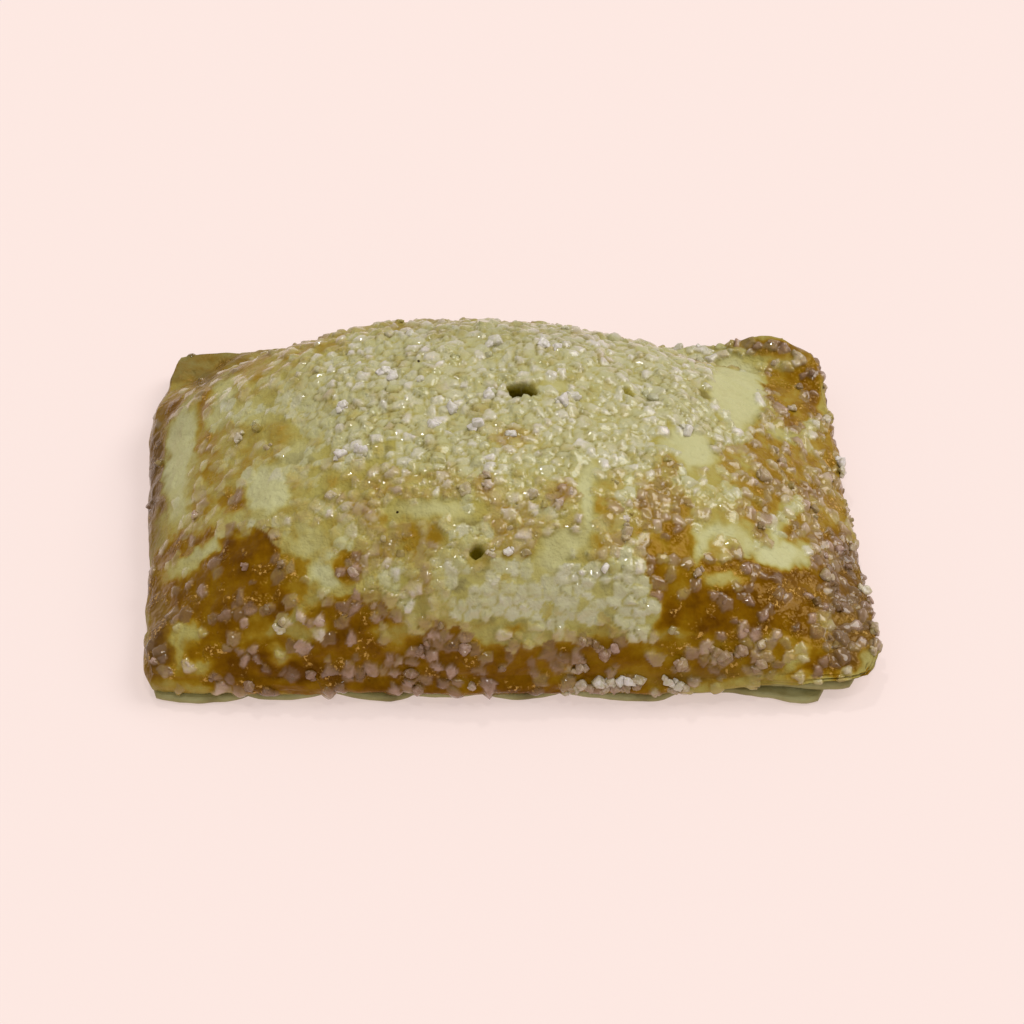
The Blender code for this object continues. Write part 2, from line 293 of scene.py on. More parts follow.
# How thickly the sugar lies, painted the same way: 0 is bare and 1 is closely packed
SUGAR_GROUND = 0.45
SUGAR_DABS = (
    (530, 400, 250, 85, 0, 1.15),
    (360, 470, 70, 30, 0, 0.75),
    (480, 470, 90, 40, 0, 1.00),
    (360, 510, 60, 26, 0, 0.95),
    (430, 535, 70, 30, 0, 0.95),
    (820, 500, 50, 90, 0, 0.75),
    (740, 500, 60, 30, 0, 0.85),
    (660, 500, 40, 30, 0, 0.70),
    (670, 560, 30, 34, 0, 0.65),
    (770, 600, 110, 36, 0, 0.30),
    (740, 655, 150, 22, -4, 0.50),
    (840, 620, 30, 50, 0, 0.70),
    (530, 530, 50, 34, 0, 1.00),
    (660, 500, 50, 30, 0, 0.90),
    (230, 590, 70, 60, 0, 0.24),
    (280, 640, 60, 30, 0, 0.30),
    (400, 560, 60, 30, 0, 0.85),
    (360, 650, 60, 26, 0, 0.30),
    (500, 668, 60, 18, 0, 0.30),
    (620, 668, 80, 22, 0, 0.30),
    (154, 530, 16, 170, 3, 0.08),
    (872, 625, 14, 44, -10, 0.70),
    (868, 662, 12, 12, 0, 0.10),
    (240, 350, 90, 14, -12, 0.30),
    (205, 368, 44, 17, -18, 0.02),
    (182, 460, 16, 60, 6, 0.04),
    (210, 441, 14, 40, 0, 0.25),
    (256, 448, 28, 24, 0, 0.55),
    (268, 490, 26, 22, -35, 0.03),
    (250, 552, 32, 26, 0, 0.04),
    (238, 542, 14, 10, 0, 0.02),
    (306, 541, 22, 20, 0, 0.08),
    (545, 594, 105, 33, 0, 0.78),
    (636, 588, 24, 42, 0, 0.95),
    (470, 600, 34, 22, 0, 0.85),
    (432, 512, 40, 12, 0, 0.10),
    (612, 500, 26, 36, 0, 0.95),
    (588, 498, 10, 44, 4, 0.03),
    (560, 500, 16, 18, 0, 1.00),
    (560, 547, 27, 17, -35, 0.05),
    (738, 392, 27, 38, -20, 0.06),
    (775, 350, 45, 9, 0, 0.60),
    (796, 390, 22, 30, 0, 0.25),
    (688, 450, 29, 19, 18, 0.04),
    (722, 529, 27, 10, -4, 0.04),
    (700, 545, 10, 17, 0, 0.04),
    (749, 543, 9, 12, -25, 0.10),
    (781, 554, 27, 16, 0, 0.00),
    (777, 531, 7, 14, 0, 0.03),
    (554, 386, 15, 9, 0, 0.00),
    (478, 558, 6, 5, 0, 0.00),
    (326, 577, 20, 14, 0, 0.06),
)

# Painted shade: crust darkened towards a greyish brown where it lies in shade, painted the same way
PAINTED_SHADE_DABS = (
    (196, 368, 40, 20, -18, 0.54),
    (230, 364, 20, 12, -14, 0.30),
    (240, 352, 60, 9, -14, 0.45),
    (180, 410, 22, 30, 20, 0.15),
    (154, 490, 14, 80, 3, 0.42),
    (156, 640, 14, 60, 0, 0.25),
    (560, 332, 240, 14, 2, 0.12),
    (700, 676, 60, 6, -4, 0.30),
    (860, 610, 34, 70, -12, 0.22),
    (780, 350, 44, 10, 4, 0.15),
)

# Crust that the photograph doesn't show: its cover of sugar and its bake level
HIDDEN_SUGAR = 0.40
HIDDEN_BAKE = 0.42
# What patches (wavelength and strength), streaks on steep faces and the two ends add to that level
HIDDEN_PATCHES = ((12.0, 0.25), (4.0, 0.12))
HIDDEN_STREAKS = 0.35
END_BAKE = 0.36

# Lumps less white than this are clear sugar
CLEAR_BELOW = 0.35

# The dabs' outlines are bent by noise: wavelength in millimetres and reach in pixels
WARPS = ((7.5, 5.0), (2.6, 5.0), (1.2, 3.0))
DAB_EDGE_PIXELS = 6.0

# Most of the sugar has melted into low cobbles, on evenly spaced sites where the dabs keep it
COBBLE_SPACING = 1.7
COBBLE_HEIGHT = (0.22, 0.80)
COBBLE_LEAN = 0.30
COBBLE_EDGE = 0.60
COBBLE_BENDS = ((2.6, 0.55), (1.0, 0.30))
# Larger and smaller cobbles: how far a cobble's edges move out or in
COBBLE_SWELL = 0.50
# Scatter of the cobbles' bake level, the whitest cobble, and how rare the white ones are
LEVEL_SCATTER = 0.045
WHITEST, WHITE_RARITY = 0.95, 1.5
# Neighbouring cobbles that have run together: spacing of the groups, and the share of cobbles in one
GROUP_SPACING = 3.0
GROUPED = 0.55
# Where the sugar has melted flatter, painted as the dabs are: 0 is full height and 1 is flat
MELT_DABS = (
    (235, 455, 95, 110, 0, 0.74),
    (250, 560, 60, 40, 0, 0.50),
    (430, 545, 110, 40, 0, 0.35),
    (545, 594, 110, 36, 0, 0.84),
    (636, 588, 28, 46, 0, 0.80),
    (470, 600, 40, 26, 0, 0.60),
    (720, 560, 170, 60, 0, 0.20),
)

# Of the cobbles, these shares carry a lump that stands proud, on pale crust and on brown crust
PROUD_ON_PALE, PROUD_ON_BROWN = 0.08, 0.30
LUMP_SIZE = (1.0, 2.0)
LUMP_RISE = (-0.1, 0.3)
# A lump is a block of sugar with chips grown onto it: both sizes as shares of the lump's
BLOCK_SIZE, CHIP_SIZE = (0.8, 1.0), (0.40, 0.65)
# Sides of a block or a chip as shares of its size
BLOCK_SIDES = ((0.8, 1.25), (0.7, 1.05), (0.6, 0.85))
# How far chips lie aside, how much less they do so upwards, lean in degrees, scatter of the whiteness
CHIP_ASIDE, CHIP_FLATNESS, BLOCK_LEAN, WHITE_SCATTER = 0.42, 0.7, 40.0, 0.15

# Large grains: chips on each, lift as a share of its size, lowest Z of a normal that one can sit on
GRAIN_CHIPS, GRAIN_LIFT, STEEPEST_HOLD = 3, 0.12, -0.35
# Large grains that stand out in the photograph: pixel, size in millimetres, and whiteness from 0 to 1
BOLD_GRAINS = (
    (344, 408, 2.6, 0.95),
    (341, 456, 2.5, 1.00),
    (362, 451, 2.6, 0.95),
    (239, 439, 2.0, 0.70),
    (386, 372, 2.4, 0.95),
    (393, 378, 2.4, 0.95),
    (332, 496, 1.8, 0.60),
    (478, 426, 3.0, 1.00),
    (433, 426, 2.7, 0.90),
    (513, 434, 2.0, 0.90),
    (451, 361, 2.2, 0.90),
    (451, 410, 2.4, 0.85),
    (496, 343, 2.9, 0.70),
    (544, 346, 2.4, 0.90),
    (557, 349, 2.2, 0.80),
    (563, 401, 2.4, 0.85),
    (573, 398, 2.2, 0.80),
    (489, 396, 2.6, 0.75),
    (466, 492, 2.6, 0.30),
    (533, 494, 2.0, 0.60),
    (627, 531, 2.6, 0.50),
    (508, 552, 1.5, 0.95),
    (491, 554, 1.6, 0.60),
    (579, 666, 2.5, 0.70),
    (604, 655, 2.6, 0.55),
    (582, 685, 2.3, 0.75),
    (590, 688, 1.8, 0.60),
    (598, 682, 2.3, 0.80),
    (605, 688, 1.9, 0.70),
    (610, 682, 2.2, 0.80),
    (615, 688, 1.8, 0.60),
    (619, 681, 2.3, 0.90),
    (625, 686, 1.9, 0.65),
    (630, 680, 2.2, 0.90),
    (636, 686, 1.7, 0.60),
    (640, 680, 2.1, 0.75),
    (567, 691, 1.9, 0.80),
    (668, 682, 2.2, 0.80),
    (673, 689, 1.9, 0.65),
    (679, 685, 2.3, 0.85),
    (686, 688, 1.8, 0.60),
    (681, 664, 2.6, 0.50),
    (723, 657, 3.0, 0.35),
    (716, 652, 2.4, 0.35),
    (742, 650, 2.6, 0.55),
    (761, 664, 2.3, 0.45),
    (421, 649, 2.1, 0.50),
    (465, 648, 2.2, 0.55),
    (411, 674, 2.3, 0.45),
    (473, 687, 2.0, 0.70),
    (840, 462, 2.6, 0.95),
    (842, 471, 2.1, 0.85),
    (826, 421, 2.2, 0.70),
    (852, 548, 2.0, 0.70),
    (868, 590, 2.3, 0.80),
    (873, 600, 2.0, 0.65),
    (877, 628, 2.3, 0.72),
    (872, 652, 2.0, 0.60),
    (825, 578, 2.3, 0.72),
    (696, 574, 2.0, 0.65),
    (687, 432, 2.6, 0.60),
    (763, 478, 2.4, 0.45),
    (792, 409, 1.9, 0.70),
    (678, 347, 2.2, 0.70),
    (249, 685, 2.2, 0.40),
    (311, 673, 2.0, 0.40),
    (280, 629, 2.0, 0.60),
    (246, 566, 1.6, 0.60),
)


def smooth_step(low, high, value):
    share = min(1.0, max(0.0, (value - low) / (high - low)))
    return share * share * (3.0 - 2.0 * share)


def smooth_steps(low, high, values):
    share = np.clip((values - low) / (high - low), 0.0, 1.0)
    return share * share * (3.0 - 2.0 * share)


def noise_at(points, wavelength, offset):
    """Noise at each row of an array of points in millimetres, about -1 to 1."""
    shift = Vector((0.0, 0.0, offset))
    return np.array([noise.noise(Vector(point) / wavelength + shift) for point in points])


def rounded(a, b, half_width, half_depth):
    """The point (a, b) of the unit square, stretched to a rectangle with rounded corners."""
    pull = CORNER_PULL[1 if a > 0.0 else -1, 1 if b > 0.0 else -1]
    x = a * half_width * (1.0 - pull * abs(b) ** CORNER_POWER)
    y = b * half_depth * (1.0 - pull * abs(a) ** CORNER_POWER)
    return x, y


def plan_point(a, b):
    """Plan position of the point (a, b) of the unit square."""
    x, y = rounded(a, b, HALF_WIDTH, HALF_DEPTH)
    x -= SKEW * y + BELLY * max(0.0, -a) ** 4 * math.exp(-(((b - BELLY_AT) / BELLY_REACH) ** 2))
    x += DRAW_IN * smooth_step(0.55, 0.90, b) * max(0.0, -a) ** 4
    push = EDGE_WAVE * noise.noise(Vector((x, y, 3.0)) / EDGE_WAVELENGTH) * max(abs(a), abs(b)) ** 6
    return x * (1.0 + push / HALF_WIDTH), y * (1.0 + push / HALF_DEPTH)


def mound(a, b):
    """Share of the dome's height over the filling, 1 at the crest and 0 at the rim."""
    side = 1 if a > CREST else -1
    along = min(1.0, abs(a - CREST) / (1.0 - CREST * side))
    drawn_in = 1.0 + BACK_DRAW * along**2 if b > 0.0 else 1.0
    across = min(1.0, abs(b) * drawn_in)
    fall = (1.0 - along ** LONG_POWER[side]) ** LONG_FALL[side]
    return fall * (1.0 - across**SHORT_POWER) ** SHORT_FALL


def corner_curl(a, b):
    along = (a - CURL_AT[0]) / CURL_REACH[0]
    across = (b - CURL_AT[1]) / CURL_REACH[1]
    return CURL_HEIGHT * math.exp(-(along**2) - across**2)


def pinched_corner(x, y):
    beyond = (x - PINCH_AT[0]) * PINCH_OUT[0] + (y - PINCH_AT[1]) * PINCH_OUT[1]
    crease = PINCH_CREASE * math.exp(-((beyond / PINCH_WIDTH) ** 2))
    return -PINCH_DROP * (PINCH_FLAP * smooth_step(-PINCH_WIDTH, PINCH_WIDTH, beyond) + crease)


def wrinkle(x, y):
    start, end = Vector(WRINKLE_ENDS[0]), Vector(WRINKLE_ENDS[1])
    run = end - start
    share = min(1.0, max(0.0, (Vector((x, y)) - start).dot(run) / run.length_squared))
    aside = (Vector((x, y)) - start - run * share).length
    return -WRINKLE_DEPTH * math.exp(-((aside / WRINKLE_WIDTH) ** 2))


def crust_height(a, b):
    """Height of the top of the crust, without its fine relief."""
    x, y = plan_point(a, b)
    rim = RIM_HEIGHT + RIM_TILT * b
    blister = noise.noise(Vector((x, y, 0.0)) / BLISTER_SIZE)
    blister += 0.5 * noise.noise(Vector((x, y, 9.0)) / (BLISTER_SIZE * 0.45))
    relief = corner_curl(a, b) + pinched_corner(x, y) + wrinkle(x, y) + BLISTER_HEIGHT * blister
    return rim + (DOME_HEIGHT - rim) * mound(a, b) + relief


def surface_point(a, b):
    x, y = plan_point(a, b)
    return Vector((x, y, crust_height(a, b)))


def crowd(t):
    return t * (1.0 + CROWDING) - CROWDING * t**3


def layeredness(x, y):
    """1 where the cut layers show, at the right and the back, and 0 at the folded left and front."""
    right = smooth_step(0.55, 1.0, x / HALF_WIDTH)
    back = smooth_step(0.7, 1.0, y / HALF_DEPTH) * smooth_step(-1.0, -0.6, x / HALF_WIDTH)
    return max(right, back)


def outward_at(x, y):
    """Outward direction of the side wall."""
    along = math.copysign(abs(x / HALF_WIDTH) ** CORNER_POWER, x)
    across = math.copysign(abs(y / HALF_DEPTH) ** CORNER_POWER, y)
    return Vector((along, across, 0.0)).normalized()


def underside_level(x, y):
    lift = smooth_step(0.35, 1.0, x / HALF_WIDTH) * smooth_step(0.1, 1.0, -y / HALF_DEPTH)
    return BASE_LIFT + CORNER_LIFT * lift


def wall_point(top, share):
    """The point of the side wall under a point of the rim, at a share of its height."""
    base = underside_level(top.x, top.y)
    level = base + (top.z - base) * share
    layered = layeredness(top.x, top.y)
    folded_out = np.interp(-share, [-value for value in WALL_SHARES], WALL_FOLDED)
    layered_out = np.interp(-share, [-value for value in WALL_SHARES], WALL_LAYERED)
    stand_out = folded_out + (layered_out - folded_out) * layered
    ragged = FLAKE_RAGGED * noise.noise(Vector((top.x, top.y, level * 3.0)) / 6.0)
    layer = noise.noise(Vector((top.x / LAYER_LENGTH, top.y / LAYER_LENGTH, level / LAYER_THICKNESS)))
    ragged += LAYER_DEPTH * layer * layered
    place = top + outward_at(top.x, top.y) * (float(stand_out) + ragged)
    return Vector((place.x, place.y, level))


def photo_places(points):
    """The pixels of the photograph at which points in millimetres lie, as two arrays."""
    cos, sin = math.cos(PHOTO_ELEVATION), math.sin(PHOTO_ELEVATION)
    depth = PHOTO_DISTANCE + points[:, 1] * cos - points[:, 2] * sin
    across = PHOTO_ORIGIN[0] + PHOTO_FOCAL * points[:, 0] / depth
    down = PHOTO_ORIGIN[1] - PHOTO_FOCAL * (points[:, 1] * sin + points[:, 2] * cos) / depth
    return across, down


def oval_reach(right, up, half_width, half_height, turn):
    """How far out places lie in an oval turned by a number of degrees: 0 in its middle, 1 on its edge."""
    cos, sin = math.cos(math.radians(turn)), math.sin(math.radians(turn))
    return np.hypot((right * cos + up * sin) / half_width, (up * cos - right * sin) / half_height)


def painted(points, dabs, ground):
    """The level that overlapping soft dabs give at each point."""
    across, down = photo_places(points)
    for index, (wavelength, reach) in enumerate(WARPS):
        across = across + reach * noise_at(points, wavelength, 40.0 * index)
        down = down + reach * noise_at(points, wavelength, 40.0 * index + 20.0)
    level = np.full(len(points), ground)
    for u, v, half_width, half_height, turn, value in dabs:
        out = oval_reach(across - u, down - v, half_width, half_height, turn)
        edge = DAB_EDGE_PIXELS / min(half_width, half_height)
        cover = 1.0 - smooth_steps(1.0 - edge, 1.0 + edge, out)
        level += (value - level) * cover
    return level


def facing(normals):
    """How far surfaces face the photograph's camera, from -1 to 1."""
    return normals[:, 2] * math.sin(PHOTO_ELEVATION) - normals[:, 1] * math.cos(PHOTO_ELEVATION)


def seen_share(normals):
    """0 where a surface is hidden from the photograph's camera and 1 where it is well seen."""
    return smooth_steps(0.02, 0.25, facing(normals))


def vertex_normals(mesh):
    normals = np.empty(len(mesh.vertices) * 3)
    mesh.vertices.foreach_get("normal", normals)
    return normals.reshape(-1, 3)


def add_attribute(mesh, name, values):
    layer = mesh.attributes.new(name, "FLOAT", "POINT")
    layer.data.foreach_set("value", np.asarray(values, dtype=np.float32))


def new_piece(name, places, faces, material):
    """A mesh piece from points in millimetres; it rides on the frame's body and stands for the pastry."""
    mesh = bpy.data.meshes.new(name)
    mesh.from_pydata([tuple(place) for place in np.asarray(places) * MM], [], faces)
    mesh.validate()
    mesh.shade_smooth()
    mesh.materials.append(material)
    piece = bpy.data.objects.new(name, mesh)
    bpy.context.scene.collection.objects.link(piece)
    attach(piece, "root")
    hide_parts("pastry")
    return piece


def grid_crust():
    """Points of the crust, the faces of its top grid, and those of its side rings and underside."""
    columns, rows = CELLS_ALONG + 1, CELLS_ACROSS + 1
    points, faces, side_faces = [], [], []
    for row in range(rows):
        b = crowd(2.0 * row / CELLS_ACROSS - 1.0)
        for column in range(columns):
            a = crowd(2.0 * column / CELLS_ALONG - 1.0)
            points.append(surface_point(a, b))
    for row in range(CELLS_ACROSS):
        for column in range(CELLS_ALONG):
            first = row * columns + column
            faces.append((first, first + 1, first + columns + 1, first + columns))
    rim = list(range(columns))
    rim += [row * columns + columns - 1 for row in range(1, rows)]
    rim += [(rows - 1) * columns + column for column in range(columns - 2, -1, -1)]
    rim += [row * columns for row in range(rows - 2, 0, -1)]
    ring = rim
    for step in range(1, SIDE_RINGS + 2):
        start = len(points)
        for index in rim:
            top = points[index]
            if step <= SIDE_RINGS:
                points.append(wall_point(top, 1.0 - step / SIDE_RINGS))
            else:
                inner = top - outward_at(top.x, top.y) * UNDERSIDE_INSET
                points.append(Vector((inner.x, inner.y, BASE_LIFT)))
        lower = list(range(start, start + len(rim)))
        for index in range(len(rim)):
            after = (index + 1) % len(rim)
            side_faces.append((ring[index], lower[index], lower[after], ring[after]))
        ring = lower
    side_faces.append(tuple(ring))
    return np.array(points), faces, side_faces


def vent_drop(points):
    """How far each point of the top sinks into the vents, and how far painted shade darkens it there, from 0
    to 1.
    """
    drop = np.zeros(len(points))
    vent_shade = np.zeros(len(points))
    ragged = VENT_RAGGED * noise_at(points, VENT_RAGGED_WAVELENGTH, 55.0)
    for vent in VENTS:
        x, y = plan_point(*vent["at"])
        out = oval_reach(points[:, 0] - x, points[:, 1] - y, *vent["half_sides"], vent["turn"])
        out += ragged * (out < 2.0)
        cover = 1.0 - smooth_steps(*VENT_EDGE, out)
        drop = np.maximum(drop, vent["depth"] * cover)
        vent_shade = np.maximum(vent_shade, vent["shade"] * cover)
    return drop, vent_shade


def linear(colour):
    """Linear values of a colour written as sRGB numbers from 0 to 255."""
    shares = [value / 255.0 for value in colour]
    return [((share + 0.055) / 1.055) ** 2.4 if share > 0.04 else share / 12.92 for share in shares]


def opaque(colour):
    """The same, as a shader takes it."""
    return (*linear(colour), 1.0)


def new_material(name):
    """A material and its shader."""
    material = bpy.data.materials.new(name)
    material.use_nodes = True
    return material, material.node_tree.nodes["Principled BSDF"]


def node_tools(material):
    """Short forms for the nodes of one material, by name."""
    nodes, links = material.node_tree.nodes, material.node_tree.links

    def feed(target, value):
        if isinstance(value, bpy.types.NodeSocket):
            links.new(value, target)
        else:
            target.default_value = value

    def attribute(name):
        node = nodes.new("ShaderNodeAttribute")
        node.attribute_name = name
        return node.outputs["Fac"]

    def texture(kind, scale, detail=3.0):
        node = nodes.new("ShaderNodeTexNoise" if kind == "noise" else "ShaderNodeTexVoronoi")
        where = nodes.new("ShaderNodeTexCoord")
        links.new(where.outputs["Object"], node.inputs["Vector"])
        node.inputs["Scale"].default_value = scale
        if kind == "noise":
            node.inputs["Detail"].default_value = detail
            return node.outputs["Fac"]
        return node

    def maths(operation, first, second):
        node = nodes.new("ShaderNodeMath")
        node.operation = operation
        for socket, value in zip(node.inputs, (first, second)):
            feed(socket, value)
        return node.outputs[0]

    def plus(first, second):
        return maths("ADD", first, second)

    def minus(first, second):
        return maths("SUBTRACT", first, second)

    def times(first, second):
        return maths("MULTIPLY", first, second)

    def spread(value, low, high, new_low, new_high):
        node = nodes.new("ShaderNodeMapRange")
        for socket, given in zip(node.inputs, (value, low, high, new_low, new_high)):
            feed(socket, given)
        return node.outputs["Result"]

    def ramp(value, stops):
        node = nodes.new("ShaderNodeValToRGB")
        feed(node.inputs["Fac"], value)
        elements = node.color_ramp.elements
        while len(elements) < len(stops):
            elements.new(0.5)
        for element, (place, colour) in zip(elements, stops):
            element.position = place
            element.color = opaque(colour)
        return node.outputs["Color"]

    def mix(share, first, second):
        node = nodes.new("ShaderNodeMix")
        node.data_type = "RGBA"
        feed(node.inputs[0], share)
        feed(node.inputs[6], first)
        feed(node.inputs[7], second)
        return node.outputs[2]

    def bump(height, strength, distance, normal=None):
        node = nodes.new("ShaderNodeBump")
        node.inputs["Strength"].default_value = strength
        node.inputs["Distance"].default_value = distance
        links.new(height, node.inputs["Height"])
        if normal is not None:
            links.new(normal, node.inputs["Normal"])
        return node.outputs["Normal"]

    tools = (feed, attribute, texture, maths, plus, minus, times, spread, ramp, mix, bump)
    return {tool.__name__: tool for tool in tools}


# Colours by how far the crust is baked, of the crust itself and of the sugar that lies on it
CRUST_STOPS = (
    (0.00, (193, 190, 142)),
    (0.16, (184, 178, 122)),
    (0.30, (174, 163, 98)),
    (0.42, (162, 143, 70)),
    (0.56, (150, 118, 28)),
    (0.70, (134, 97, 6)),
    (0.84, (119, 79, 0)),
    (1.00, (92, 54, 0)),
)
SUGAR_STOPS = (
    (0.00, (188, 184, 146)),
    (0.22, (180, 175, 118)),
    (0.38, (174, 158, 80)),
    (0.55, (154, 130, 58)),
    (0.78, (122, 89, 40)),
    (1.00, (104, 70, 34)),
)
# Whitish sugar takes a mauve cast from brown crust
WHITE_STOPS = (
    (0.20, (222, 212, 206)),
    (0.50, (200, 184, 164)),
    (0.78, (180, 148, 132)),
)
# Painted shade in a vent: colours from its edge to its darkest bottom
VENT_STOPS = (
    (0.00, (160, 148, 70)),
    (0.30, (104, 90, 4)),
    (0.60, (62, 50, 2)),
    (1.00, (30, 24, 2)),
)
LEAF_STOPS = ((0.30, (172, 166, 114)), (0.55, (148, 138, 82)), (0.75, (114, 98, 46)))
# Painted shade: darker olive crust in the crevices between pieces of sugar
CREVICE_SHADE_COLOUR = (160, 146, 60)
DARK_CREVICE_SHADE = (108, 94, 30)
PAINTED_SHADE_COLOUR = (76, 66, 46)
SPECK_COLOUR = (38, 28, 16)
# Painted glints: pale gold specks on the brown crust that stand in for its glitter
PAINTED_GLINT_COLOUR = (206, 160, 84)
GLAZE_TINT = (255, 205, 110)


def crust_material():
    material, shader = new_material("baked_crust")
    tools = node_tools(material)
    attribute, texture, maths, spread = (tools[name] for name in ("attribute", "texture", "maths", "spread"))
    plus, minus, times, ramp, mix = (tools[name] for name in ("plus", "minus", "times", "ramp", "mix"))
    broad = texture("noise", 240.0)
    fine = texture("noise", 900.0)
    grain = texture("noise", 2600.0, 2.0)
    bake = attribute("bake")
    mottle = times(minus(broad, 0.5), 0.65)
    mottle = plus(mottle, times(minus(fine, 0.5), 0.22))
    mottle = plus(mottle, times(minus(grain, 0.5), 0.04))
    mottle = times(mottle, spread(bake, 0.65, 0.9, 1.0, 0.85))
    level = plus(bake, times(mottle, spread(bake, 0.1, 0.55, 0.25, 1.0)))
    colour = ramp(level, CRUST_STOPS)
    sugar_level = plus(attribute("sugar_level"), times(mottle, 1.1))
    sugar = ramp(sugar_level, SUGAR_STOPS)
    share = times(attribute("tint"), spread(fine, 0.35, 0.65, 0.5, 1.2))
    share = times(share, spread(attribute("rise"), 0.2, 0.7, 0.2, 1.0))
    sugar = mix(share, sugar, ramp(sugar_level, WHITE_STOPS))
    cover = attribute("sugar")
    # Painted shade: the crust between pieces of sugar is darkened to olive, most on pale crust
    crevice_shade_share = times(attribute("thick"), spread(level, 0.25, 0.5, 0.8, 0.0))
    crevice_shade = opaque(CREVICE_SHADE_COLOUR)
    crevice_shade = mix(spread(broad, 0.50, 0.60, 0.0, 1.0), crevice_shade, opaque(DARK_CREVICE_SHADE))
    colour = mix(crevice_shade_share, colour, crevice_shade)
    colour = mix(times(cover, 0.9), colour, sugar)
    specks = texture("voronoi", 170.0)
    near = maths("LESS_THAN", specks.outputs["Distance"], 0.045)
    chosen = maths("GREATER_THAN", specks.outputs["Color"], 0.80)
    colour = mix(times(near, chosen), colour, opaque(SPECK_COLOUR))
    sparkle = spread(texture("noise", 260.0), 0.54, 0.62, 0.0, 1.0)
    sparkle = times(sparkle, spread(level, 0.45, 0.65, 0.0, 1.0))
    # Painted glints: pale gold specks on bare brown crust in the sparkle patches
    painted_glint = spread(texture("noise", 1500.0, 2.0), 0.56, 0.62, 0.0, 0.85)
    painted_glint = times(times(painted_glint, sparkle), minus(1.0, cover))
    colour = mix(painted_glint, colour, opaque(PAINTED_GLINT_COLOUR))
    # Painted shade: darken the colour towards a greyish brown where the shade dabs put it
    colour = mix(attribute("dull"), colour, opaque(PAINTED_SHADE_COLOUR))
    # Painted shade in the vents, darkest at their bottoms
    vent = attribute("vent")
    in_vent = spread(vent, 0.01, 0.12, 0.0, 1.0)
    colour = mix(in_vent, colour, ramp(vent, VENT_STOPS))
    tools["feed"](shader.inputs["Base Color"], colour)
    shader.inputs["Specular IOR Level"].default_value = 0.25
    shader.inputs["Coat Roughness"].default_value = 0.07
    tools["feed"](shader.inputs["Coat Weight"], times(cover, 0.9))
    shader.inputs["Specular Tint"].default_value = opaque(GLAZE_TINT)
    gloss = spread(level, 0.35, 0.75, 0.60, 0.10)
    wet = times(cover, minus(gloss, spread(broad, 0.35, 0.65, 0.08, 0.30)))
    tools["feed"](shader.inputs["Roughness"], plus(minus(gloss, wet), in_vent))
    calm = spread(level, 0.45, 0.75, 1.0, 0.1)
    roughened = plus(times(calm, 0.25), sparkle)
    normal = tools["bump"](broad, 0.6, 0.0018)
    normal = tools["bump"](times(fine, calm), 0.5, 0.0008, normal)
    normal = tools["bump"](times(grain, roughened), 0.8, 0.0004, normal)
    tools["feed"](shader.inputs["Normal"], normal)
    return material


def leaf_material():
    material, shader = new_material("raw_leaf")
    tools = node_tools(material)
    broad = tools["texture"]("noise", 180.0)
    fine = tools["texture"]("noise", 1100.0)
    tools["feed"](shader.inputs["Base Color"], tools["ramp"](broad, LEAF_STOPS))
    shader.inputs["Roughness"].default_value = 0.6
    tools["feed"](shader.inputs["Normal"], tools["bump"](fine, 0.5, 0.0004))
    return material


def sugar_material(name, transmission, roughness):
    """Sugar that takes the crust's colour where it has melted into it, with the crevices' painted shade low
    down, and is milky where it stands up.
    """
    material, shader = new_material(name)
    tools = node_tools(material)
    attribute, spread, mix = tools["attribute"], tools["spread"], tools["mix"]
    plus, minus, times = tools["plus"], tools["minus"], tools["times"]
    cloudy = tools["texture"]("noise", 700.0, 1.0)
    streaky = tools["texture"]("noise", 1800.0, 1.0)
    level = plus(attribute("bake"), times(minus(cloudy, 0.5), 0.4))
    below = tools["ramp"](level, SUGAR_STOPS)
    # Painted shade: the lower part of a lump takes the crevices' darker olive, most on pale crust
    sunk_shade = spread(attribute("rise"), 0.30, 0.60, 0.6, 0.0)
    sunk_shade = times(sunk_shade, spread(level, 0.3, 0.6, 1.0, 0.3))
    below = mix(sunk_shade, below, opaque(CREVICE_SHADE_COLOUR))
    share = times(attribute("tint"), spread(streaky, 0.35, 0.65, 0.6, 1.1))
    share = times(share, spread(attribute("rise"), 0.25, 0.60, 0.3, 1.0))
    colour = mix(share, below, tools["ramp"](level, WHITE_STOPS))
    tools["feed"](shader.inputs["Base Color"], colour)
    tools["feed"](shader.inputs["Roughness"], spread(streaky, 0.35, 0.65, roughness, roughness * 3.0))
    shader.inputs["Transmission Weight"].default_value = transmission
    shader.inputs["IOR"].default_value = 1.45
    normal = tools["bump"](cloudy, 0.5, 0.0009)
    tools["feed"](shader.inputs["Normal"], tools["bump"](streaky, 0.4, 0.0003, normal))
    return material


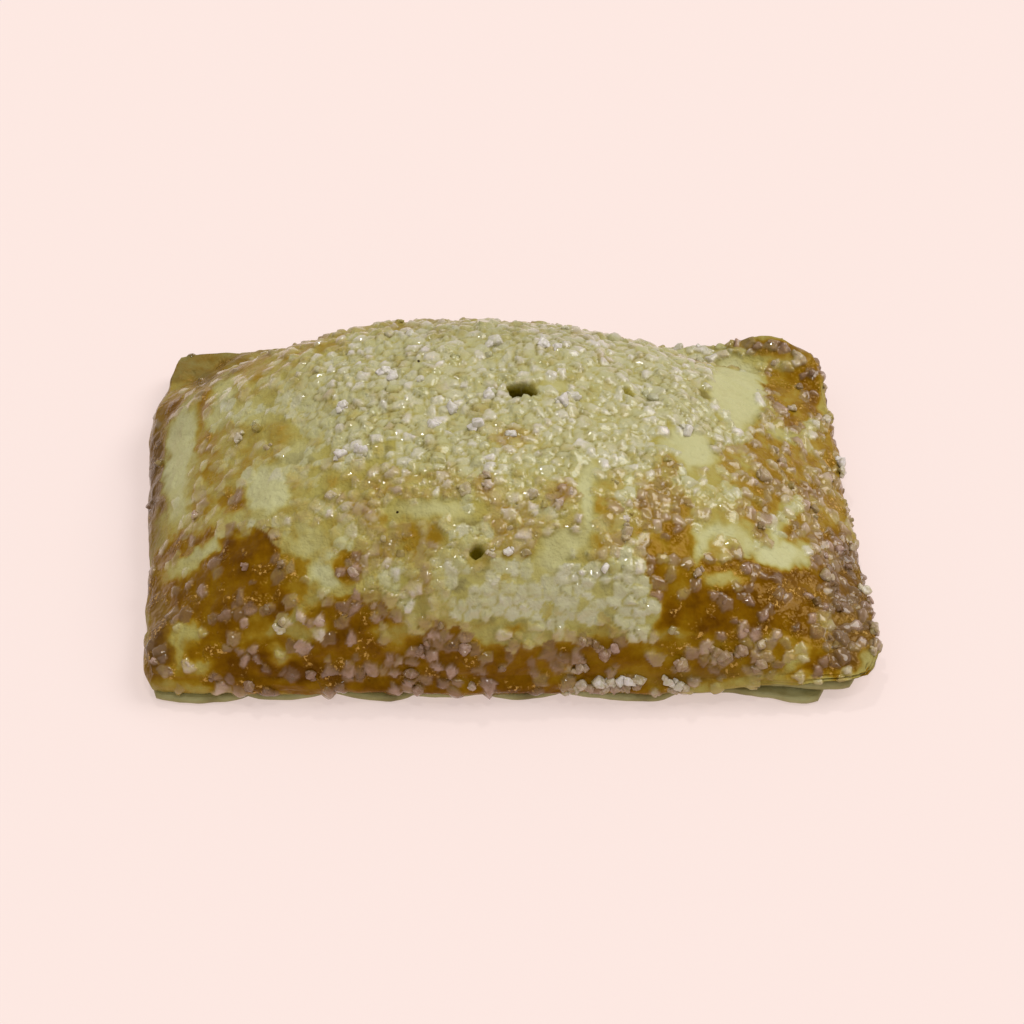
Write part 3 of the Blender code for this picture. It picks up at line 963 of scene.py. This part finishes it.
def shape_crust():
    """The crust before any sugar: points, both lists of faces, normals, bake, painted vent shade and seen
    share.
    """
    points, faces, side_faces = grid_crust()
    mesh = bpy.data.meshes.new("shape_only")
    mesh.from_pydata([tuple(point) for point in points], [], faces + side_faces)
    mesh.update()
    normals = vertex_normals(mesh)
    bpy.data.meshes.remove(mesh)
    seen = seen_share(normals)
    streaks = noise_at(points * (1.0, 1.0, LAYER_LENGTH / LAYER_THICKNESS), LAYER_LENGTH, 70.0)
    streaks *= 1.0 - smooth_steps(0.15, 0.45, np.abs(normals[:, 2]))
    hidden = HIDDEN_BAKE + HIDDEN_STREAKS * streaks
    for index, (wavelength, strength) in enumerate(HIDDEN_PATCHES):
        hidden += strength * noise_at(points, wavelength, 60.0 + 5.0 * index)
    hidden += END_BAKE * smooth_steps(0.88, 0.96, np.abs(points[:, 0]) / HALF_WIDTH)
    bake = seen * painted(points, BAKE_DABS, BAKE_GROUND) + (1.0 - seen) * hidden
    relief = np.zeros(len(points))
    for index, (wavelength, height) in enumerate(FINE_RELIEF):
        relief += height * noise_at(points, wavelength, 11.0 * index)
    drop, vent_shade = vent_drop(points)
    top_count = (CELLS_ALONG + 1) * (CELLS_ACROSS + 1)
    drop[top_count:] = 0.0
    vent_shade[top_count:] = 0.0
    placed = points + normals * relief[:, None]
    placed[:, 2] -= drop
    placed[:, 2] = np.maximum(placed[:, 2], LOWEST_CRUST)
    return placed, faces, side_faces, normals, bake, vent_shade, seen


def sugar_share(points, seen):
    """How thickly the sugar lies at points of the crust."""
    return seen * painted(points, SUGAR_DABS, SUGAR_GROUND) + (1.0 - seen) * HIDDEN_SUGAR


def cobble_sites(placed, normals, bake, vent_shade, seen, draw):
    """The sites of the melted sugar: row, height (0 is bare), lean, whiteness, level, swell and group."""
    rows = np.flatnonzero((normals[:, 2] > 0.1) & (placed[:, 2] > LOWEST_SUGAR))
    rows = rows[even_sites(placed[rows], COBBLE_SPACING, draw)]
    share = sugar_share(placed[rows], seen[rows])
    melted = painted(placed[rows], MELT_DABS, 0.0)
    centres = KDTree(len(rows))
    for number, index in enumerate(even_sites(placed[rows], GROUP_SPACING, draw)):
        centres.insert(placed[rows[index]], number)
    centres.balance()
    sites = []
    for row, kept, flat in zip(rows, share, melted):
        kept = kept if vent_shade[row] < 0.1 else 0.0
        height = draw.uniform(*COBBLE_HEIGHT) if draw.random() < kept else 0.0
        lean = [draw.uniform(-COBBLE_LEAN, COBBLE_LEAN) for _ in range(3)]
        height *= 1.0 - flat
        level = bake[row] + draw.gauss(0.0, LEVEL_SCATTER)
        whiteness = WHITEST * draw.random() ** WHITE_RARITY
        swell = draw.uniform(-COBBLE_SWELL, COBBLE_SWELL)
        group = centres.find(placed[row])[1] if draw.random() < GROUPED else -1
        sites.append((row, height, lean, whiteness, level, swell, group))
    return sites


def lay_cobbles(placed, sites):
    """Height, sugar share, whiteness and level that the cobbles give at each point of the crust."""
    tree = KDTree(len(sites))
    for index, site in enumerate(sites):
        tree.insert(placed[site[0]], index)
    tree.balance()
    bend = np.zeros(placed.shape)
    for wavelength, reach in COBBLE_BENDS:
        for axis in range(3):
            bend[:, axis] += reach * noise_at(placed, wavelength, 80.0 + axis)
    rise, sugar, white, level = (np.zeros(len(placed)) for _ in range(4))
    for row, place in enumerate(placed + bend):
        reaches = sorted((gap - sites[index][5], index) for _, index, gap in tree.find_n(place, 6))
        near, first = reaches[0]
        site_row, height, lean, whiteness, site_level, _, group = sites[first]
        others = [(gap, index) for gap, index in reaches[1:] if group < 0 or sites[index][6] != group]
        far = others[0][0] if others else reaches[-1][0]
        white[row] = whiteness
        level[row] = site_level
        if height > 0.0:
            edge = 0.5 * (far - near)
            inward = min(1.0, max(0.0, edge / COBBLE_EDGE))
            slope = float(np.dot(lean, place - placed[site_row]))
            rise[row] = inward * (2.0 - inward) * max(0.1, height + slope)
            sugar[row] = smooth_step(-0.05, 0.4 * COBBLE_EDGE, edge)
    return rise, sugar, white, level


def make_crust(placed, faces, side_faces, normals, traits, material):
    """The crust as two pieces, top and side, with the melted sugar risen on it."""
    placed = placed + normals * traits["rise"][:, None]
    placed[:, 2] = np.maximum(placed[:, 2], LOWEST_CRUST)
    for name, part in (("crust_top", faces), ("crust_side", side_faces)):
        used = sorted({index for face in part for index in face})
        number = {index: new for new, index in enumerate(used)}
        piece = new_piece(name, placed[used], [[number[index] for index in face] for face in part], material)
        for trait, values in traits.items():
            add_attribute(piece.data, trait, values[used])


def leaf_outline(leaf):
    """Points round a leaf and the outward direction at each, as in the frame's solid but more ragged."""
    middle = Vector((leaf["left"] + leaf["right"], leaf["front"] + leaf["back"])) / 2
    half = Vector((leaf["right"] - leaf["left"], leaf["back"] - leaf["front"])) / 2
    steps = [2.0 * index / LEAF_POINTS_PER_SIDE - 1.0 for index in range(LEAF_POINTS_PER_SIDE)]
    square = [(t, -1.0) for t in steps] + [(1.0, t) for t in steps]
    square += [(-t, 1.0) for t in steps] + [(-1.0, -t) for t in steps]
    points = []
    for a, b in square:
        x, y = rounded(a, b, half.x, half.y)
        x += middle.x
        y += middle.y
        spot = Vector((x, y, 5.0 + leaf["level"]))
        ragged = sum(reach * noise.noise(spot / wavelength) for wavelength, reach in LEAF_WAVES)
        if y < 0.0:
            ragged += sum(push * math.exp(-(((x - at) / reach) ** 2)) for at, reach, push in leaf["tongues"])
            ragged += SCALLOP if leaf["notches"] else 0.0
            ragged -= NOTCH_DEPTH * sum(math.exp(-abs(x - at) / NOTCH_REACH) for at in leaf["notches"])
        outward = outward_at(x, y)
        points.append((Vector((x - SKEW * y, y, 0.0)) + outward * ragged, outward))
    return points


def make_leaf(leaf, material):
    """A thin leaf of dough with a rounded, slightly wavy edge."""
    outline = leaf_outline(leaf)
    points, faces = [], []
    half = leaf["thickness"] / 2
    lift_reach = LEAF_LIFT if leaf["level"] else LEAF_LIFT / 2
    for ring in range(LEAF_RINGS + 1):
        angle = math.pi * (ring / LEAF_RINGS - 0.5)
        for place, outward in outline:
            inset = half * (1.0 - math.cos(angle))
            spot = place - outward * inset
            lift = lift_reach * noise.noise(Vector((spot.x, spot.y, 20.0)) / 5.0)
            level = leaf["level"] + half + half * math.sin(angle)
            points.append(Vector((spot.x, spot.y, max(level + lift * (ring / LEAF_RINGS), 0.0))))
    count = len(outline)
    for ring in range(LEAF_RINGS):
        for index in range(count):
            after = (index + 1) % count
            low, high = ring * count, (ring + 1) * count
            faces.append((low + index, low + after, high + after, high + index))
    faces.append(tuple(reversed(range(count))))
    faces.append(tuple(range(LEAF_RINGS * count, LEAF_RINGS * count + count)))
    piece = new_piece(leaf["name"], points, faces, material)


def lump_template(seed, sharpness, cuts):
    """Points and faces of one lump of unit size: a block with corners chipped off, its edges rounded."""
    bm = bmesh.new()
    bmesh.ops.create_cube(bm, size=1.0)
    bmesh.ops.subdivide_edges(bm, edges=bm.edges, cuts=cuts, use_grid_fill=True)
    bmesh.ops.triangulate(bm, faces=bm.faces)
    points = np.array([vert.co[:] for vert in bm.verts])
    faces = np.array([[vert.index for vert in face.verts] for face in bm.faces])
    bm.free()
    chip = random.Random(seed)
    sides = [(1, 0, 0), (-1, 0, 0), (0, 1, 0), (0, -1, 0), (0, 0, 1), (0, 0, -1)]
    sides = [np.array(side) + [chip.uniform(-0.25, 0.25) for _ in range(3)] for side in sides]
    sides += [np.array([chip.gauss(0.0, 1.0) for _ in range(3)]) for _ in range(9)]
    reaches = [chip.uniform(0.40, 0.54) for _ in range(6)] + [chip.uniform(0.42, 0.60) for _ in range(9)]
    directions = points / np.linalg.norm(points, axis=1)[:, None]
    push = np.zeros(len(points))
    for side, reach in zip(sides, reaches):
        push += np.maximum(directions @ (side / np.linalg.norm(side)) / reach, 0.0) ** sharpness
    return directions * (push ** (-1.0 / sharpness))[:, None], faces


def even_sites(places, spacing, draw):
    """Picks rows of an array of places in a seeded order, keeping them a spacing apart."""
    order = list(range(len(places)))
    draw.shuffle(order)
    cells = np.floor(places / spacing).astype(int).tolist()
    taken = {}
    chosen = []
    for index in order:
        cell = cells[index]
        place = places[index]
        close = False
        for dx in (-1, 0, 1):
            for dy in (-1, 0, 1):
                for dz in (-1, 0, 1):
                    for other in taken.get((cell[0] + dx, cell[1] + dy, cell[2] + dz), ()):
                        gap = places[other] - place
                        if gap @ gap < spacing**2:
                            close = True
        if not close:
            taken.setdefault(tuple(cell), []).append(index)
            chosen.append(index)
    return chosen


def join_lumps(name, templates, spots, material):
    """One mesh piece of many lumps; each spot has a place, a turn, sizes, a whiteness and a bake level."""
    points, faces, tints, bakes, rises = [], [], [], [], []
    start = 0
    for index, (place, turn, sizes, tint, bake) in enumerate(spots):
        shape, sides = templates[index % len(templates)]
        turned = (shape * sizes) @ np.array(turn).T + place
        rises.append(shape[:, 2] + 0.5)
        points.append(turned)
        faces.append(sides + start)
        tints.append(np.full(len(shape), tint))
        bakes.append(np.full(len(shape), bake))
        start += len(shape)
    placed = np.vstack(points)
    placed[:, 2] = np.maximum(placed[:, 2], 0.02)
    piece = new_piece(name, placed, np.vstack(faces).tolist(), material)
    for trait, values in (("tint", tints), ("bake", bakes), ("rise", rises)):
        add_attribute(piece.data, trait, np.concatenate(values))


def lying_turn(normal, draw, lean):
    """A turn that stands a lump's Z on the surface, spins it, and leans it by up to a number of degrees."""
    stand = Vector(normal).to_track_quat("Z", "X").to_matrix()
    spin = Euler((0.0, 0.0, draw.uniform(-math.pi, math.pi))).to_matrix()
    tilt = Euler([math.radians(draw.uniform(-lean, lean)) for _ in range(2)] + [0.0]).to_matrix()
    return stand @ tilt @ spin


def cluster(place, normal, size, chips, whiteness, level, draw):
    """Spots of a block of sugar with smaller chips grown onto it."""
    spots = []
    for number in range(chips + 1):
        part = size * draw.uniform(*(CHIP_SIZE if number else BLOCK_SIZE))
        sizes = [part * draw.uniform(*reach) for reach in BLOCK_SIDES]
        aside = Vector()
        if number:
            aside = Vector([draw.uniform(-CHIP_ASIDE, CHIP_ASIDE) * size for _ in range(3)])
        aside -= Vector(normal) * aside.dot(normal) * CHIP_FLATNESS
        turn = lying_turn(normal, draw, BLOCK_LEAN)
        white = min(1.0, max(0.0, whiteness + draw.uniform(-WHITE_SCATTER, WHITE_SCATTER)))
        spots.append((place + np.array(aside), turn, sizes, white, level))
    return spots


def sugar_spots(placed, normals, sites, draw):
    """The lumps that stand proud of the melted sugar."""
    spots = []
    for row, height, _, whiteness, level, _, _ in sites:
        share = PROUD_ON_PALE + (PROUD_ON_BROWN - PROUD_ON_PALE) * smooth_step(0.4, 0.7, level)
        if draw.random() > share * height / COBBLE_HEIGHT[1]:
            continue
        size = draw.uniform(*LUMP_SIZE)
        place = placed[row] + normals[row] * size * draw.uniform(*LUMP_RISE)
        spots += cluster(place, normals[row], size, draw.choice((0, 1, 1, 2)), whiteness, level, draw)
    return spots


def bold_spots(places, normals, bake, draw):
    """Where the large grains lie: on the surface point nearest to each one's pixel."""
    rows = np.flatnonzero(facing(normals) > 0.1)
    across, down = photo_places(places[rows])
    spots = []
    for u, v, size, whiteness in BOLD_GRAINS:
        index = rows[np.argmin((across - u) ** 2 + (down - v) ** 2)]
        place = places[index] + normals[index] * size * GRAIN_LIFT
        level = bake[index] * (1.0 - 0.7 * smooth_step(0.6, 0.9, whiteness))
        spots += cluster(place, normals[index], size, GRAIN_CHIPS, whiteness, level, draw)
    return spots


# Light: the room's, and suns with the direction they shine from, their spread in degrees and strength
FLOOR_COLOUR = (251, 231, 225)
FLOOR_GLOW = 0.50
ROOM_LIGHT = 0.47
SUNS = (
    ("key", (0.90, 0.40, 1.0), 34.0, 1.35),
    ("spark", (-0.25, 0.55, 1.0), 3.0, 0.38),
    ("glint", (0.10, -0.05, 1.0), 3.0, 0.30),
    ("shine", (-0.20, -0.75, 1.0), 3.0, 0.28),
)


def make_stage():
    """Pale pink floor, soft light and the camera of the photograph."""
    scene = bpy.context.scene
    scene.view_settings.view_transform = "Standard"
    world = bpy.data.worlds.new("soft_room")
    world.use_nodes = True
    background = world.node_tree.nodes["Background"]
    background.inputs["Color"].default_value = (1.0, 0.98, 0.96, 1.0)
    background.inputs["Strength"].default_value = ROOM_LIGHT
    scene.world = world
    bpy.ops.mesh.primitive_plane_add(size=6.0, location=(0.0, 0.0, 0.0))
    floor = bpy.context.object
    floor.name = "floor"
    material, shader = new_material("pale_paper")
    matt = [value * (1.0 - FLOOR_GLOW) for value in linear(FLOOR_COLOUR)]
    shader.inputs["Base Color"].default_value = (*matt, 1.0)
    shader.inputs["Emission Color"].default_value = opaque(FLOOR_COLOUR)
    shader.inputs["Emission Strength"].default_value = FLOOR_GLOW
    shader.inputs["Roughness"].default_value = 0.9
    shader.inputs["Specular IOR Level"].default_value = 0.0
    floor.data.materials.append(material)
    for name, towards, spread, strength in SUNS:
        light = bpy.data.lights.new(name, "SUN")
        light.angle = math.radians(spread)
        light.energy = strength
        lamp = bpy.data.objects.new(name, light)
        lamp.rotation_euler = Vector(towards).to_track_quat("Z", "Y").to_euler()
        scene.collection.objects.link(lamp)
    lens = bpy.data.cameras.new("camera")
    lens.sensor_width = SENSOR_WIDTH
    lens.lens = PHOTO_FOCAL / PHOTO_SIZE * SENSOR_WIDTH
    lens.shift_x = (PHOTO_SIZE / 2 - PHOTO_ORIGIN[0]) / PHOTO_SIZE
    lens.shift_y = (PHOTO_ORIGIN[1] - PHOTO_SIZE / 2) / PHOTO_SIZE
    lens.clip_start = 0.01
    camera = bpy.data.objects.new("camera", lens)
    towards = Vector((0.0, -math.cos(PHOTO_ELEVATION), math.sin(PHOTO_ELEVATION)))
    camera.location = towards * PHOTO_DISTANCE * MM
    camera.rotation_euler = (math.pi / 2 - PHOTO_ELEVATION, 0.0, 0.0)
    scene.collection.objects.link(camera)
    scene.camera = camera


make_stage()
draw = random.Random(5)
placed, faces, side_faces, normals, bake, vent_shade, seen = shape_crust()
sites = cobble_sites(placed, normals, bake, vent_shade, seen, draw)
rise, sugar, white, level = lay_cobbles(placed, sites)
traits = {
    "bake": bake,
    "sugar": sugar,
    "tint": white,
    "sugar_level": level,
    "rise": rise,
    "thick": np.minimum(sugar_share(placed, seen), 1.0),
    # Painted shade in the vents
    "vent": vent_shade,
    # Painted shade from the dabs, only where the surface is seen
    "dull": seen * painted(placed, PAINTED_SHADE_DABS, 0.0),
}
make_crust(placed, faces, side_faces, normals, traits, crust_material())
lumps = sugar_spots(placed, normals, sites, draw)
can_hold = (normals[:, 2] > STEEPEST_HOLD) & (placed[:, 2] > LOWEST_GRAIN) & (vent_shade < 0.05)
holding = placed[can_hold], normals[can_hold], bake[can_hold]
bold = bold_spots(*holding, draw)
raw = leaf_material()
for leaf in LEAVES:
    make_leaf(leaf, raw)
clear = sugar_material("clear_sugar", transmission=0.15, roughness=0.07)
milky = sugar_material("milky_sugar", transmission=0.04, roughness=0.10)
shapes = [lump_template(seed, sharpness=14.0, cuts=3) for seed in range(8)]
blocks = [lump_template(20 + seed, sharpness=16.0, cuts=5) for seed in range(8)]
join_lumps("sugar_clear", shapes, [spot for spot in lumps if spot[3] < CLEAR_BELOW], clear)
join_lumps("sugar_milky", shapes, [spot for spot in lumps if spot[3] >= CLEAR_BELOW], milky)
join_lumps("sugar_grains", blocks, bold, milky)
